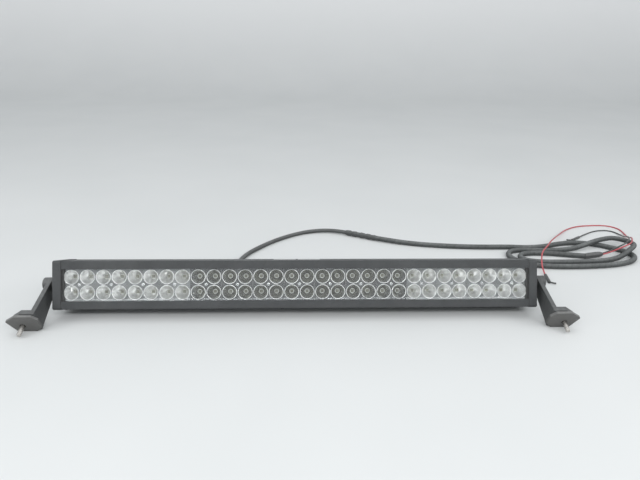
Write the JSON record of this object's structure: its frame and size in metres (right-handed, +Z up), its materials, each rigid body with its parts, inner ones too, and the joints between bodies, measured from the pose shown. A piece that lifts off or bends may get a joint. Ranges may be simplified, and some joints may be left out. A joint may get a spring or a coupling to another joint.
{
  "type": "led light bar",
  "caption": "Straight LED light bar with two rows of reflector cups behind a clear lens, finned housing, swivel end brackets and a loose coiled power lead.",
  "frame": {"origin": "on the surface that the bar stands on, under the middle of the bar with its brackets, the cord left out", "axes": "+X along the bar, to the right as seen from the lit front; +Y away from the lit front, towards the cord; +Z up. The bar leans back 22 degrees on its rear lower edge and its two foot pads"},
  "size_m": [1.2655, 0.5039, 0.0982],
  "materials": {
    "powder_coat": "fine-textured black powder coat",
    "bracket_coat": "black powder coat over cast metal",
    "gasket_rubber": "matte silicone",
    "pad_rubber": "matte moulded rubber",
    "stainless": "turned stainless steel",
    "zinc_steel": "bright zinc plate",
    "black_steel": "black oxide",
    "clear_lens": "clear polycarbonate",
    "flood_reflector": "satin metallised plastic",
    "spot_reflector": "mirror metallised plastic",
    "circuit_board": "white solder mask",
    "led_phosphor": "yellow phosphor under a clear dome",
    "thermal_pad": "grey gap filler",
    "gland_nylon": "black nylon",
    "bush_nylon": "black nylon",
    "label_vinyl": "blank white vinyl",
    "copper_wire": "insulated wire",
    "lead_rubber": "rubber sheath",
    "cloth_tape": "cloth harness tape",
    "loom_plastic": "taped conduit",
    "boot_plastic": "heat-shrink boot",
    "red_insulation": "red insulation",
    "black_insulation": "black insulation",
    "terminal_sleeve": "black sleeve and bare tab"
  },
  "bodies": {
    "bar": {"black_terminal": "terminal_sleeve", "black_wire": "black_insulation", "blank_labels": "label_vinyl", "end_cap_left": "powder_coat", "end_cap_right": "powder_coat", "end_cap_screws_left": "black_steel", "end_cap_screws_right": "black_steel", "end_gasket_left": "gasket_rubber", "end_gasket_right": "gasket_rubber", "front_lens": "clear_lens", "gland_body": "gland_nylon", "gland_nut": "gland_nylon", "gland_seal": "gasket_rubber", "housing": "powder_coat", "lead_joint": "cloth_tape", "led_board_centre": "circuit_board", "led_board_left": "circuit_board", "led_board_right": "circuit_board", "led_emitters": "led_phosphor", "lens_seal": "gasket_rubber", "loom": "loom_plastic", "loom_boot": "boot_plastic", "loom_coil": "loom_plastic", "pivot_bolt_left": "black_steel", "pivot_bolt_right": "black_steel", "pivot_bush_left": "bush_nylon", "pivot_bush_right": "bush_nylon", "pivot_washer_left": "zinc_steel", "pivot_washer_right": "zinc_steel", "power_lead": "lead_rubber", "red_terminal": "terminal_sleeve", "red_wire": "red_insulation", "reflector_01": "flood_reflector", "reflector_02": "flood_reflector", "reflector_03": "flood_reflector", "reflector_04": "flood_reflector", "reflector_05": "spot_reflector", "reflector_06": "spot_reflector", "reflector_07": "spot_reflector", "reflector_08": "spot_reflector", "reflector_09": "spot_reflector", "reflector_10": "spot_reflector", "reflector_11": "spot_reflector", "reflector_12": "flood_reflector", "reflector_13": "flood_reflector", "reflector_14": "flood_reflector", "reflector_15": "flood_reflector", "reflector_screws": "zinc_steel", "spring_washer_left": "zinc_steel", "spring_washer_right": "zinc_steel", "supply_conductors": "copper_wire", "thermal_pad": "thermal_pad", "vent_plug": "gland_nylon"},
    "left_bracket": {"bracket_left": "bracket_coat", "foot_pad_left": "pad_rubber", "foot_bolt_left": "stainless"},
    "right_bracket": {"bracket_right": "bracket_coat", "foot_pad_right": "pad_rubber", "foot_bolt_right": "stainless"}
  },
  "joints": [
    {"name": "left_swivel", "type": "hinge", "parent": "bar", "child": "left_bracket", "pos_m": [-0.4235, 0.02454, 0.04913], "axis": [1, 0, 0], "continuous": true},
    {"name": "right_swivel", "type": "hinge", "parent": "bar", "child": "right_bracket", "pos_m": [0.4235, 0.02454, 0.04913], "axis": [1, 0, 0], "continuous": true}
  ]
}
